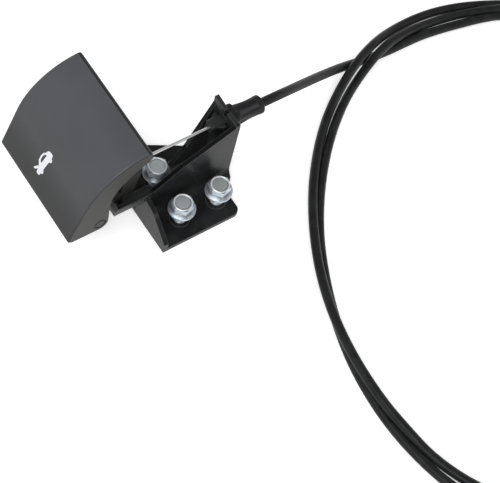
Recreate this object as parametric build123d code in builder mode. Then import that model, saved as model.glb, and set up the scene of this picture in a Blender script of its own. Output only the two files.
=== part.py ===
import math
import os

from build123d import *

os.makedirs("parts", exist_ok=True)

# Hood release handle, millimetres. Z = 0 is the mounting face of the bracket's base, and the
# origin lies close to the middle of the two front screw holes. +X runs along the wire towards the
# cable, +Y runs from the front screws towards the far side of the lever.

# Base of the bracket
base_t = 2.5
base_left = -26.0
base_front = -10.0
base_right = 20.6
base_corner = 4.0
hole_middle = (1.8, 1.5)
hole_pitch = 22.0
hole_depth = 24.0
hole_r = 3.3
boss_r = 5.2
boss_h = 0.7
far_edge_mid = (0.5, 46.1)
far_edge_end = (-21.0, 59.0)

# Near wall, its arm, and the tower that holds the cable
wall_y = 11.5
wall_t = 2.4
wall_foot_r = 8.0
arm_low = 17.3
arm_top = 21.8
arm_end = -42.8
arm_return = 5.0
arm_return_t = 2.2
rise_start = -21.0
rise_knee = (-5.5, 32.8)
rise_bend_r = 14.0
tower_x = 26.4
tower_top = 48.4
tower_far_top = 49.6
tower_depth = 20.0
tower_t = 2.3
gusset_t = 2.5
gusset_front_h = 6.8
far_gusset_foot = 2.6
far_gusset_bend = (11.0, 16.0)
far_gusset_drop = 4.0

# Pivot of the lever
pivot_x = -35.0
pivot_z = 17.5
pin_r = 2.0
pin_clear = 0.08
pin_groove_t = 0.9
pin_groove_depth = 0.5
pin_tip = 1.2
clip_r = 3.6
cheek_r = 4.2
near_cheek_t = 2.9
far_cheek_y = 54.2
far_cheek_t = 2.5
side_play = 0.5
bore_floor = 0.4

# Lever
lever_y0 = 8.7
lever_width = 65.1
face_r = 38.8
face_center = (-25.5, 28.8)
face_end_angle = 93.0
face_low_angle = 160.0
face_t = 2.4
foot_round = 1.6
lip_depth = 5.0
lip_t = 2.2
lip_round = 2.0
rim_round = 0.8
side_t = 2.2
side_inset = 1.0
side_depth = 16.3
side_corner = 5.0
side_low = 17.6
side_knee_z = 35.0
knee_depth = 11.4
knee_angle = 126.8
tip_depth = 6.7
tip_angle = 95.5
barrel_r = 5.5
rib_t = 2.6
rib_edge = 3.3
rib_from = 158.0
rib_to = 110.0
middle_rib_y = 38.0
mark_r = 3.2
mark_w = 0.8
mark_in = 4.4
mark_up = 5.0
mark_depth = 0.4

# Wire, its travel and its ends
wire_r = 0.75
wire_y = 21.5
wire_z = 41.0
pull_angle = 28.0
wire_gap = 2.8
nipple_r = 2.4
nipple_length = 8.0
nipple_play = 0.35
nipple_grip = 2.0
hook_front = 4.2
hook_back = 4.4
hook_slot = 3.0
bore_r = 1.05

# Cable end fitting and boot
neck_r = 3.5
neck_clear = 0.1
slot_width = 2.4
block_length = 9.0
block_size = 6.0
wing_reach = 1.9
wing_t = 1.6
boot_base = 11.2
boot_base_t = 4.0
boot_length = 19.6
boot_waist = 8.8
boot_end_r = 4.9
boot_collar = 2.2
flute_r = 1.6
socket_depth = 5.0
socket_clear = 0.3
wire_end_gap = 0.6

# Cable: its route is a list of points chosen by hand
cable_r = 2.5
lead_route = [
    (54.0, 21.5, 41.0),
    (64.5, 23.2, 37.4),
    (79.5, 27.4, 28.8),
    (96.5, 32.0, 19.2),
    (113.5, 35.4, 11.0),
]
tail_route = [
    (308.0, -111.0, 2.6),
    (302.0, -127.0, 2.9),
    (293.0, -141.5, 4.1),
    (281.5, -154.5, 4.1),
]

# Coil of the cable: the middle of its turns goes once round this centre
coil_center = (169.0, -105.0)
coil_r = 147.2
coil_lean = -1.9
coil_oval = (-1.0, 4.7)
coil_three = -4.1
coil_steps = 30
coil_h = 10.4
turn_spread = 7.0
fan_spread = 3.0
fan_angle = 207.0
lead_spread = 7.5
lead_angle = 88.0
hump_h = 16.2
hump_x = (92.0, 106.0, 130.0, 150.0)

# Latch end of the cable
ferrule_r = 4.0
ferrule_length = 22.0
ferrule_groove_at = 6.0
ferrule_groove_w = 3.0
ferrule_groove_depth = 1.0
ferrule_seat = 1.5
latch_wire_in = 8.0
latch_wire_out = 34.0
latch_nipple_r = 3.0
latch_nipple_length = 8.0

# Bolts, M6 flange bolts that stand loose in the holes
bolt_r = 3.0
bolt_length = 12.0
bolt_tip = 0.2
bolt_tip_chamfer = 0.7
flange_r = 7.1
flange_t = 1.2
flange_rise = 1.2
head_af = 10.0
head_h = 6.6
head_chamfer_angle = 30.0
head_dish_depth = 0.4

left_hole_x = hole_middle[0] - hole_pitch / 2
right_hole_x = hole_middle[0] + hole_pitch / 2
front_holes = [(left_hole_x, hole_middle[1]), (right_hole_x, hole_middle[1])]
rear_hole = (left_hole_x, hole_middle[1] + hole_depth)
holes = front_holes + [rear_hole]

wall_back = wall_y + wall_t
tower_far = wall_y + tower_depth
near_cheek_end = wall_back + near_cheek_t
far_cheek_end = far_cheek_y + far_cheek_t
barrel_y0 = near_cheek_end + side_play
barrel_y1 = far_cheek_y - side_play
lever_y1 = lever_y0 + lever_width

# The hook for the wire stands above the pivot, turned towards the cable by half the pull, so that
# the wire is level at both ends of its travel and sags by hook_sag between them.
hook_rise = wire_z - pivot_z
hook_r = hook_rise / math.cos(math.radians(pull_angle / 2))
hook_x = pivot_x + hook_r * math.sin(math.radians(pull_angle / 2))
hook_sag = hook_r - hook_rise
travel = 2 * (hook_x - pivot_x)
print("wire travel", round(travel, 3), "m per rad", travel / math.radians(pull_angle) / 1000)

# Bracket
with BuildPart() as bracket:
    with BuildSketch(Plane.XY):
        with BuildLine():
            Polyline(
                (base_left, base_front),
                (base_right, base_front),
                (base_right, 2.0),
                (tower_x, wall_y - 2.5),
                (tower_x, tower_far),
                far_edge_mid,
                far_edge_end,
                (base_left, far_edge_end[1]),
                close=True,
            )
        make_face()
    extrude(amount=base_t)
    front_corner = bracket.edges().filter_by(Axis.Z).group_by(Axis.Y)[0].sort_by(Axis.X)[-1]
    fillet(front_corner, base_corner)

    # Near wall, with the arm at its left end and the rise to the tower
    with BuildSketch(Plane.XZ.offset(-wall_back)):
        with BuildLine():
            FilletPolyline(
                (arm_end, arm_top),
                (rise_start, arm_top),
                rise_knee,
                (tower_x, tower_top),
                radius=rise_bend_r,
            )
            Polyline(
                (tower_x, tower_top),
                (tower_x, 0),
                (base_left, 0),
                (base_left, arm_low),
                (arm_end, arm_low),
                (arm_end, arm_top),
            )
        make_face()
    extrude(amount=wall_t)

    # The wall runs into the base in a hollow
    wall_foot = (
        bracket.edges()
        .filter_by(Axis.X)
        .filter_by_position(Axis.Y, wall_y - 0.01, wall_y + 0.01)
        .filter_by_position(Axis.Z, base_t - 0.01, base_t + 0.01)
    )
    fillet(wall_foot, wall_foot_r)

    # The arm's end turns inwards
    with BuildSketch(Plane.XY.offset(arm_low)):
        with Locations((arm_end, wall_y)):
            Rectangle(arm_return_t, arm_return, align=(Align.MIN, Align.MIN))
    extrude(amount=arm_top - arm_low)

    # Left gusset, from the front corner of the base up to the arm
    with BuildSketch(Plane.YZ.offset(base_left)):
        with BuildLine():
            FilletPolyline(
                (base_front, gusset_front_h),
                (wall_y - 7.5, arm_top - 1.6),
                (wall_back, arm_top),
                radius=8,
            )
            Polyline(
                (wall_back, arm_top),
                (wall_back, 0),
                (base_front, 0),
                (base_front, gusset_front_h),
            )
        make_face()
    extrude(amount=gusset_t)

    # End wall of the tower, a little higher at its far corner
    with BuildSketch(Plane.YZ.offset(tower_x - tower_t)):
        with BuildLine():
            Polyline(
                (wall_y, 0),
                (tower_far, 0),
                (tower_far, tower_far_top),
                (wire_y, tower_top),
                (wall_y, tower_top),
                close=True,
            )
        make_face()
    extrude(amount=tower_t)

    # Far gusset of the tower
    with BuildSketch(Plane.XZ.offset(-tower_far)):
        with BuildLine():
            Polyline(
                (far_gusset_foot, 0),
                (far_gusset_foot, base_t),
                far_gusset_bend,
                (tower_x - tower_t, tower_far_top - far_gusset_drop),
                (tower_x, tower_far_top - far_gusset_drop),
                (tower_x, 0),
                close=True,
            )
        make_face()
    extrude(amount=tower_t)

    # Bearing behind the arm for the near end of the pivot pin
    with BuildSketch(Plane.XZ.offset(-near_cheek_end)):
        with Locations((pivot_x, pivot_z)):
            Circle(cheek_r)
        with BuildLine():
            Polyline(
                (pivot_x, pivot_z + cheek_r),
                (base_left + 6, pivot_z + cheek_r),
                (base_left + 14, base_t),
                (base_left, base_t),
                (base_left, pivot_z - cheek_r - 2),
                (pivot_x, pivot_z - cheek_r),
                close=True,
            )
        make_face()
    extrude(amount=near_cheek_t)

    # Far bearing, a cheek that stands on the base
    with BuildSketch(Plane.XZ.offset(-far_cheek_end)):
        with Locations((pivot_x, pivot_z)):
            Circle(cheek_r + 1)
        with BuildLine():
            Polyline(
                (pivot_x, pivot_z + cheek_r + 1),
                (base_left, pivot_z + cheek_r + 1),
                (far_edge_end[0], base_t),
                (far_edge_end[0], 0),
                (base_left, 0),
                (base_left, pivot_z - cheek_r - 5),
                (pivot_x, pivot_z - cheek_r - 1),
                close=True,
            )
        make_face()
    extrude(amount=far_cheek_t)

    # Bosses and holes for the screws
    with BuildSketch(Plane.XY):
        with Locations(*holes):
            Circle(boss_r)
    extrude(amount=base_t + boss_h)
    with BuildSketch(Plane.XY):
        with Locations(*holes):
            Circle(hole_r)
    extrude(amount=tower_top, mode=Mode.SUBTRACT)

    # Keyhole for the cable's end fitting
    with BuildSketch(Plane.YZ.offset(tower_x - tower_t)):
        with Locations((wire_y, wire_z)):
            Circle(neck_r + neck_clear)
            Rectangle(slot_width, tower_top, align=(Align.CENTER, Align.MIN))
    extrude(amount=tower_t, mode=Mode.SUBTRACT)

    # Bores for the pivot pin: blind behind the arm, through in the far cheek
    with BuildSketch(Plane.XZ.offset(-near_cheek_end)):
        with Locations((pivot_x, pivot_z)):
            Circle(pin_r)
    extrude(amount=near_cheek_t - bore_floor, mode=Mode.SUBTRACT)
    with BuildSketch(Plane.XZ.offset(-far_cheek_end)):
        with Locations((pivot_x, pivot_z)):
            Circle(pin_r + pin_clear)
    extrude(amount=far_cheek_t, mode=Mode.SUBTRACT)

bracket.part.label = "bracket"
export_step(bracket.part, "parts/bracket.step")

# Pivot pin, seated in the near bearing, with a groove for its clip outside the far cheek
pin_y0 = wall_back + bore_floor
groove_y = far_cheek_end + 0.1
pin_y1 = groove_y + pin_groove_t + pin_tip
with BuildPart() as pivot_pin:
    with BuildSketch(Plane.XZ.offset(-pin_y0)):
        with Locations((pivot_x, pivot_z)):
            Circle(pin_r)
    extrude(amount=-(pin_y1 - pin_y0))
    chamfer(pivot_pin.edges().filter_by(GeomType.CIRCLE), 0.4)
    with BuildSketch(Plane.XZ.offset(-groove_y)):
        with Locations((pivot_x, pivot_z)):
            Circle(pin_r + 1)
            Circle(pin_r - pin_groove_depth, mode=Mode.SUBTRACT)
    extrude(amount=-pin_groove_t, mode=Mode.SUBTRACT)
pivot_pin.part.label = "pivot_pin"
export_step(pivot_pin.part, "parts/pivot_pin.step")

# Clip in the pin's groove, open at one side
clip_t = pin_groove_t - 0.1
with BuildPart() as pin_clip:
    with BuildSketch(Plane.XZ.offset(-groove_y - 0.05)):
        with Locations((pivot_x, pivot_z)):
            Circle(clip_r)
            Circle(pin_r - pin_groove_depth + 0.05, mode=Mode.SUBTRACT)
            with PolarLocations((pin_r + clip_r) / 2 + 0.2, 3, start_angle=90):
                Circle(0.45, mode=Mode.SUBTRACT)
            with Locations((0, -clip_r)):
                Rectangle(1.8 * (pin_r - pin_groove_depth), 2 * clip_r, mode=Mode.SUBTRACT)
    extrude(amount=-clip_t)
pin_clip.part.label = "pin_clip"
export_step(pin_clip.part, "parts/pin_clip.step")


def on_face(radius, degrees):
    """A point at that radius and angle about the centre of the lever's curved face."""
    a = math.radians(degrees)
    return (face_center[0] + radius * math.cos(a), face_center[1] + radius * math.sin(a))


def on_foot(radius, z):
    """A point at that height on the straight run that goes on from the arc of that radius."""
    x0, z0 = on_face(radius, face_low_angle)
    return (x0 - (z0 - z) * math.tan(math.radians(180 - face_low_angle)), z)


def on_outside(edge):
    """Whether an end edge of the face lies on its outer surface, arc or straight."""
    middle = edge @ 0.5
    x = middle.X - face_center[0]
    z = middle.Z - face_center[1]
    a = math.radians(face_low_angle)
    if math.atan2(z, x) % (2 * math.pi) > a:
        return x * math.cos(a) + z * math.sin(a) > face_r - 0.3
    return math.hypot(x, z) > face_r - 0.3


# Lever: an open shell, with the pivot barrel, the ribs and the hook for the wire moulded on
face_in = face_r - face_t
face_mid = (face_end_angle + face_low_angle) / 2
side_r = face_r - side_inset
side_right = on_foot(face_r, side_knee_z)[0] + side_depth
side_knee = on_face(face_r - knee_depth, knee_angle)
side_end = on_face(face_r - tip_depth, tip_angle)
grip = on_face(face_r, face_end_angle)
rib_near = wire_y - wire_gap / 2 - rib_t
rib_far = wire_y + wire_gap / 2
with BuildPart() as lever:
    # Curved face, straight at its foot, and closed at the top by a lip that turns down
    with BuildSketch(Plane.XZ.offset(-lever_y0)):
        with BuildLine():
            Line(on_foot(face_r, side_low), on_face(face_r, face_low_angle))
            ThreePointArc(on_face(face_r, face_low_angle), on_face(face_r, face_mid), grip)
            Polyline(
                grip,
                (grip[0] + 0.4, grip[1] - lip_depth),
                (grip[0] + 0.4 - lip_t, grip[1] - lip_depth),
                on_face(face_in, face_end_angle + 2.2),
            )
            ThreePointArc(
                on_face(face_in, face_end_angle + 2.2),
                on_face(face_in, face_mid),
                on_face(face_in, face_low_angle),
            )
            Polyline(
                on_face(face_in, face_low_angle),
                on_foot(face_in, side_low),
                on_foot(face_r, side_low),
            )
        make_face()
    extrude(amount=-lever_width)
    fillet(lever.edges().filter_by(Axis.Y).sort_by(Axis.Z)[-1], lip_round)
    fillet(lever.edges().filter_by(Axis.Y).sort_by(Axis.X)[0], foot_round)

    # The rim between the face and each side is rounded
    ends = lever.faces().filter_by(Axis.Y)
    rims = ends.edges().filter_by(on_outside).filter_by(lambda e: e.length > lip_depth)
    fillet(rims, rim_round)

    # Side walls: deep at the foot, and running out towards the lip
    for y in (lever_y0, lever_y1 - side_t):
        with BuildSketch(Plane.XZ.offset(-y)):
            with BuildLine():
                Line(on_foot(side_r, side_low + foot_round), on_face(side_r, face_low_angle))
                ThreePointArc(
                    on_face(side_r, face_low_angle),
                    on_face(side_r, face_mid),
                    on_face(side_r, face_end_angle + 4),
                )
                Polyline(
                    on_face(side_r, face_end_angle + 4),
                    (grip[0] - 0.2, grip[1] - lip_depth + 1),
                    side_end,
                )
                Spline(
                    side_end,
                    side_knee,
                    (side_right, side_knee_z),
                    tangents=[(-1, -0.5), (0, -1)],
                )
                Line((side_right, side_knee_z), (side_right, side_low + side_corner))
                RadiusArc(
                    (side_right, side_low + side_corner),
                    (side_right - side_corner, side_low),
                    side_corner,
                )
                Polyline(
                    (side_right - side_corner, side_low),
                    (on_foot(face_in, side_low)[0], side_low),
                    on_foot(side_r, side_low + foot_round),
                )
            make_face()
        extrude(amount=-side_t)

    # Barrel that turns on the pin
    with BuildSketch(Plane.XZ.offset(-barrel_y0)):
        with Locations((pivot_x, pivot_z)):
            Circle(barrel_r)
    extrude(amount=-(barrel_y1 - barrel_y0))

    # Ribs from the barrel to the face, open in the middle: two beside the wire and two beyond
    for y in (rib_near, rib_far, middle_rib_y, barrel_y1 - rib_t):
        with BuildSketch(Plane.XZ.offset(-y)):
            with BuildLine():
                Polyline(
                    (pivot_x - barrel_r + 0.2, pivot_z),
                    (pivot_x - barrel_r - 3.0, pivot_z + 14),
                    on_face(face_in + 0.6, rib_from),
                )
                ThreePointArc(
                    on_face(face_in + 0.6, rib_from),
                    on_face(face_in + 0.6, (rib_from + rib_to) / 2),
                    on_face(face_in + 0.6, rib_to),
                )
                Polyline(
                    on_face(face_in + 0.6, rib_to),
                    (hook_x + hook_front, wire_z + 8),
                    (hook_x + hook_front, wire_z - 4),
                    (pivot_x + barrel_r - 0.2, pivot_z),
                    (pivot_x - barrel_r + 0.2, pivot_z),
                )
            make_face()
            with BuildLine():
                Polyline(
                    (pivot_x - 1.4, pivot_z + barrel_r + 2),
                    (pivot_x - barrel_r + rib_edge - 2.6, pivot_z + 14.5),
                    on_face(face_in - rib_edge - 5, rib_from - 8),
                    on_face(face_in - rib_edge, rib_to + 12),
                    (hook_x - hook_back, wire_z + 8),
                    (hook_x - hook_back, wire_z - 4),
                    close=True,
                )
            make_face(mode=Mode.SUBTRACT)
        extrude(amount=-rib_t)

    # Pocket for the wire's nipple, long enough for the sag of the hook at half travel
    with BuildSketch(Plane.XZ.offset(-rib_near)):
        with Locations(Location((hook_x, wire_z - hook_sag / 2), 90 - pull_angle / 2)):
            SlotCenterToCenter(hook_sag + 0.3, 2 * (nipple_r + nipple_play))
    extrude(amount=-(rib_far + rib_t - rib_near), mode=Mode.SUBTRACT)
    with BuildSketch(Plane.XZ.offset(-rib_near)):
        with Locations((hook_x, wire_z - hook_sag / 2)):
            Rectangle(2 * hook_front, hook_slot, align=(Align.MIN, Align.CENTER))
    extrude(amount=-rib_t, mode=Mode.SUBTRACT)

    # Bore of the barrel
    with BuildSketch(Plane.XZ.offset(-barrel_y0)):
        with Locations((pivot_x, pivot_z)):
            Circle(pin_r + pin_clear)
    extrude(amount=-(barrel_y1 - barrel_y0), mode=Mode.SUBTRACT)

    # Shallow round mark low on the near side wall
    with BuildSketch(Plane.XZ.offset(-lever_y0)):
        with Locations((side_right - mark_in, side_low + mark_up)):
            Circle(mark_r)
            Circle(mark_r - mark_w, mode=Mode.SUBTRACT)
    extrude(amount=-mark_depth, mode=Mode.SUBTRACT)

lever.part.label = "lever"
export_step(lever.part, "parts/lever.step")

# Inner wire, from the nipple through the end fitting into the boot
boot_end = tower_x + boot_length
socket_x = boot_end - socket_depth
wire_x0 = hook_x - nipple_grip
with BuildPart() as inner_wire:
    with BuildSketch(Plane.YZ.offset(wire_x0)):
        with Locations((wire_y, wire_z)):
            Circle(wire_r)
    extrude(amount=socket_x - wire_end_gap - wire_x0)
inner_wire.part.label = "inner_wire"
export_step(inner_wire.part, "parts/inner_wire.step")

# Nipple in the lever's hook, cast round the end of the wire
with BuildPart() as lever_end_nipple:
    with BuildSketch(Plane.XZ.offset(-(wire_y - nipple_length / 2))):
        with Locations((hook_x, wire_z)):
            Circle(nipple_r)
    extrude(amount=-nipple_length)
    chamfer(lever_end_nipple.edges().filter_by(GeomType.CIRCLE), 0.3)
    with BuildSketch(Plane.YZ.offset(wire_x0)):
        with Locations((wire_y, wire_z)):
            Circle(wire_r)
    extrude(amount=nipple_r + nipple_grip, mode=Mode.SUBTRACT)
lever_end_nipple.part.label = "lever_end_nipple"
export_step(lever_end_nipple.part, "parts/lever_end_nipple.step")

# End fitting: a block inside the tower, with snap wings and a neck through the keyhole
block_x1 = tower_x - tower_t
block_x0 = block_x1 - block_length
with BuildPart() as casing_end_fitting:
    with BuildSketch(Plane.YZ.offset(block_x0)):
        with Locations((wire_y, wire_z)):
            RectangleRounded(block_size, block_size, 0.8)
    extrude(amount=block_length)
    chamfer(casing_end_fitting.edges().group_by(Axis.X)[0], 0.6)
    with BuildSketch(Plane.XY.offset(wire_z + block_size / 2 - wing_t - 0.6)):
        with BuildLine():
            Polyline(
                (block_x0 + 2.0, wire_y - block_size / 2 + 0.5),
                (block_x0 + 5.6, wire_y - block_size / 2 - wing_reach),
                (block_x0 + 7.2, wire_y - block_size / 2 - wing_reach),
                (block_x0 + 7.2, wire_y + block_size / 2 + wing_reach),
                (block_x0 + 5.6, wire_y + block_size / 2 + wing_reach),
                (block_x0 + 2.0, wire_y + block_size / 2 - 0.5),
                close=True,
            )
        make_face()
    extrude(amount=wing_t)
    with BuildSketch(Plane.YZ.offset(block_x1)):
        with Locations((wire_y, wire_z)):
            Circle(neck_r)
    extrude(amount=tower_t)
    with BuildSketch(Plane.YZ.offset(block_x0)):
        with Locations((wire_y, wire_z)):
            Circle(bore_r)
    extrude(amount=block_length + tower_t, mode=Mode.SUBTRACT)
casing_end_fitting.part.label = "casing_end_fitting"
export_step(casing_end_fitting.part, "parts/casing_end_fitting.step")

# Boot: a square base against the tower, a fluted waist and a round collar
collar_x = boot_end - boot_collar
waist_x = tower_x + 0.62 * boot_length
with BuildPart() as cable_boot:
    with BuildSketch(Plane.YZ.offset(tower_x)):
        with Locations((wire_y, wire_z)):
            RectangleRounded(boot_base, boot_base, 2.4)
    extrude(amount=boot_base_t)
    chamfer(cable_boot.edges().group_by(Axis.X)[-1], 0.5)
    with BuildSketch(Plane.YZ.offset(tower_x + boot_base_t)):
        with Locations((wire_y, wire_z)):
            RectangleRounded(boot_base - 1.2, boot_base - 1.2, 3.4)
    with BuildSketch(Plane.YZ.offset(waist_x)):
        with Locations((wire_y, wire_z)):
            RectangleRounded(boot_waist, boot_waist, 3.6)
    with BuildSketch(Plane.YZ.offset(collar_x)):
        with Locations((wire_y, wire_z)):
            RectangleRounded(2 * boot_end_r - 0.2, 2 * boot_end_r - 0.2, boot_end_r - 0.2)
    loft()
    with BuildSketch(Plane.YZ.offset(collar_x)):
        with Locations((wire_y, wire_z)):
            Circle(boot_end_r)
    extrude(amount=boot_collar)
    fillet(cable_boot.edges().filter_by(GeomType.CIRCLE).sort_by(Axis.X)[-1], 0.7)
    with BuildSketch(Plane.YZ.offset(tower_x + boot_base_t + 0.8)):
        with Locations((wire_y, wire_z)):
            with PolarLocations(boot_base / 2 + 0.4, 4):
                Circle(flute_r)
    extrude(amount=collar_x - tower_x - boot_base_t - 1.6, mode=Mode.SUBTRACT)
    with BuildSketch(Plane.YZ.offset(tower_x)):
        with Locations((wire_y, wire_z)):
            Circle(bore_r)
    extrude(amount=boot_length, mode=Mode.SUBTRACT)
    with BuildSketch(Plane.YZ.offset(socket_x)):
        with Locations((wire_y, wire_z)):
            Circle(cable_r + socket_clear)
    extrude(amount=socket_depth, mode=Mode.SUBTRACT)
cable_boot.part.label = "cable_boot"
export_step(cable_boot.part, "parts/cable_boot.step")


def corner_radii(points):
    """For each corner, the largest arc that its two runs allow, with a little to spare."""
    radii = []
    for before, at, after in zip(points, points[1:], points[2:]):
        shorter = min((at - before).length, (after - at).length)
        turn = (at - before).get_angle(after - at)
        radii.append(0.45 * shorter / math.tan(math.radians(turn / 2)))
    return radii


# Cable from the boot down to the coil, and from the coil to the latch end
lead_points = [Vector(socket_x, wire_y, wire_z)] + [Vector(*p) for p in lead_route]
tail_points = [Vector(*p) for p in tail_route]
cable_length = 0
for name, points in (("cable_lead", lead_points), ("cable_tail", tail_points)):
    radii = corner_radii(points)
    with BuildPart() as tube:
        with BuildLine() as route:
            FilletPolyline(*points, radius=radii)
        path = route.wires()[0]
        with BuildSketch(Plane(path @ 0, z_dir=path % 0)):
            Circle(cable_r)
        sweep(path=path)
    share = tube.part.volume / (math.pi * cable_r**2 * path.length)
    cable_length += path.length
    print(name, "length", round(path.length, 1), "share", round(share, 4), "radii", [round(r) for r in radii])
    tube.part.label = name
    export_step(tube.part, f"parts/{name}.step")


def coil_point(degrees, offset):
    """A point on the middle line of the coil's turns, moved outwards by offset."""
    a = math.radians(degrees)
    r = coil_r + coil_lean * math.sin(a) + coil_three * math.sin(3 * a) + offset
    r += coil_oval[0] * math.cos(2 * a) + coil_oval[1] * math.sin(2 * a)
    return (coil_center[0] + r * math.cos(a), coil_center[1] + r * math.sin(a))


def bump(degrees, middle, width):
    """1 at the middle angle, falling to 0 at width degrees from it."""
    away = min(abs(degrees - middle) / width, 1)
    return 0.5 + 0.5 * math.cos(math.pi * away)


# Coil: one solid of the outer shape of its turns. It is wider where they fan out and where the
# lead runs along their inner side, and higher where they pass over the lead.
turns_at = [360 * i / coil_steps for i in range(coil_steps)]
outer = [coil_point(a, turn_spread + fan_spread * bump(a, fan_angle, 45)) for a in turns_at]
inner = [
    coil_point(
        a,
        -turn_spread - fan_spread * bump(a, fan_angle, 45) - lead_spread * bump(a, lead_angle, 42),
    )
    for a in turns_at
]
with BuildPart() as cable_coil:
    with BuildSketch(Plane.XY):
        with BuildLine():
            Spline(*outer, periodic=True)
        make_face()
        with BuildLine():
            Spline(*inner, periodic=True)
        make_face(mode=Mode.SUBTRACT)
    extrude(amount=hump_h)
    far_side = coil_center[1] + coil_r + 40
    near_side = coil_center[1] - coil_r - 40
    left_side = coil_center[0] - coil_r - 40
    right_side = coil_center[0] + coil_r + 40
    with BuildSketch(Plane.XZ.offset(-far_side)):
        with BuildLine():
            Polyline(
                (left_side, coil_h),
                (hump_x[0], coil_h),
                (hump_x[1], hump_h),
                (hump_x[2], hump_h),
                (hump_x[3], coil_h),
                (right_side, coil_h),
                (right_side, 2 * hump_h),
                (left_side, 2 * hump_h),
                close=True,
            )
        make_face()
    extrude(amount=far_side - coil_center[1], mode=Mode.SUBTRACT)
    with BuildSketch(Plane.XY.offset(coil_h)):
        with Locations((left_side, coil_center[1])):
            Rectangle(right_side - left_side, coil_center[1] - near_side, align=(Align.MIN, Align.MAX))
    extrude(amount=hump_h, mode=Mode.SUBTRACT)
cable_coil.part.label = "cable_coil"
export_step(cable_coil.part, "parts/cable_coil.step")
coil_length = 0
for a, b in zip(turns_at, turns_at[1:] + turns_at[:1]):
    coil_length += math.dist(coil_point(a, 0), coil_point(b, 0))
print("one turn", round(coil_length, 1), "lead and tail", round(cable_length, 1))

# Latch end: a ferrule on the casing, the wire that comes out of it, and its nipple
tail_end = tail_points[-1]
tail_dir = (tail_points[-1] - tail_points[-2]).normalized()
tail_dir = Vector(tail_dir.X, tail_dir.Y, 0).normalized()
with BuildPart() as latch_end_ferrule:
    with BuildSketch(Plane(tail_end, z_dir=tail_dir)):
        Circle(ferrule_r)
    extrude(amount=ferrule_length)
    chamfer(latch_end_ferrule.edges().filter_by(GeomType.CIRCLE), 0.5)
    with BuildSketch(Plane(tail_end + tail_dir * ferrule_groove_at, z_dir=tail_dir)):
        Circle(ferrule_r + 1)
        Circle(ferrule_r - ferrule_groove_depth, mode=Mode.SUBTRACT)
    extrude(amount=ferrule_groove_w, mode=Mode.SUBTRACT)
    with BuildSketch(Plane(tail_end + tail_dir * ferrule_seat, z_dir=tail_dir)):
        Circle(bore_r)
    extrude(amount=ferrule_length, mode=Mode.SUBTRACT)
latch_end_ferrule.part.label = "latch_end_ferrule"
export_step(latch_end_ferrule.part, "parts/latch_end_ferrule.step")

ferrule_end = tail_end + tail_dir * ferrule_length
with BuildPart() as latch_end_wire:
    with BuildSketch(Plane(ferrule_end - tail_dir * latch_wire_in, z_dir=tail_dir)):
        Circle(wire_r)
    extrude(amount=latch_wire_in + latch_wire_out)
latch_end_wire.part.label = "latch_end_wire"
export_step(latch_end_wire.part, "parts/latch_end_wire.step")

side = Vector(-tail_dir.Y, tail_dir.X, 0)
nipple_at = ferrule_end + tail_dir * (latch_wire_out - nipple_grip)
with BuildPart() as latch_end_nipple:
    with BuildSketch(Plane(nipple_at - side * (latch_nipple_length / 2), z_dir=side)):
        Circle(latch_nipple_r)
    extrude(amount=latch_nipple_length)
    chamfer(latch_end_nipple.edges().filter_by(GeomType.CIRCLE), 0.4)
    with BuildSketch(Plane(nipple_at - tail_dir * 2 * latch_nipple_r, z_dir=tail_dir)):
        Circle(wire_r)
    extrude(amount=2 * latch_nipple_r + nipple_grip, mode=Mode.SUBTRACT)
latch_end_nipple.part.label = "latch_end_nipple"
export_step(latch_end_nipple.part, "parts/latch_end_nipple.step")

# Bolts
head_z = bolt_tip + bolt_length
head_r = head_af / 2
head_corner = head_r / math.cos(math.radians(30))
for name, place in zip(("front_left_bolt", "front_right_bolt", "rear_bolt"), holes):
    axis = Axis(Vector(place[0], place[1], 0), Vector(0, 0, 1))
    with BuildPart() as bolt:
        # Hexagon, cut to a cone at its top
        with BuildSketch(Plane.XY.offset(head_z)):
            with Locations(place):
                RegularPolygon(head_corner, 6, rotation=15)
        extrude(amount=head_h)
        with BuildSketch(Plane.XZ.offset(-place[1])):
            with BuildLine():
                Polyline(
                    (place[0], head_z),
                    (place[0] + head_corner + 1, head_z),
                    (
                        place[0] + head_corner + 1,
                        head_z
                        + head_h
                        - (head_corner + 1.4 - head_r) * math.tan(math.radians(head_chamfer_angle)),
                    ),
                    (place[0] + head_r - 0.4, head_z + head_h),
                    (place[0] + head_r - 1.3, head_z + head_h - head_dish_depth),
                    (place[0], head_z + head_h - head_dish_depth),
                    close=True,
                )
            make_face()
        revolve(axis=axis, mode=Mode.INTERSECT)
        # Flange and shank
        with BuildSketch(Plane.XZ.offset(-place[1])):
            with BuildLine():
                Polyline(
                    (place[0], bolt_tip),
                    (place[0] + bolt_r - bolt_tip_chamfer, bolt_tip),
                    (place[0] + bolt_r, bolt_tip + bolt_tip_chamfer),
                    (place[0] + bolt_r, head_z),
                    (place[0] + flange_r, head_z),
                    (place[0] + flange_r, head_z + flange_t),
                    (place[0] + head_r, head_z + flange_t + flange_rise),
                    (place[0], head_z + flange_t + flange_rise),
                    close=True,
                )
            make_face()
        revolve(axis=axis)
    bolt.part.label = name
    export_step(bolt.part, f"parts/{name}.step")
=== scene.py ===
import math

import bmesh
import bpy
from mathutils import Matrix, Vector


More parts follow.
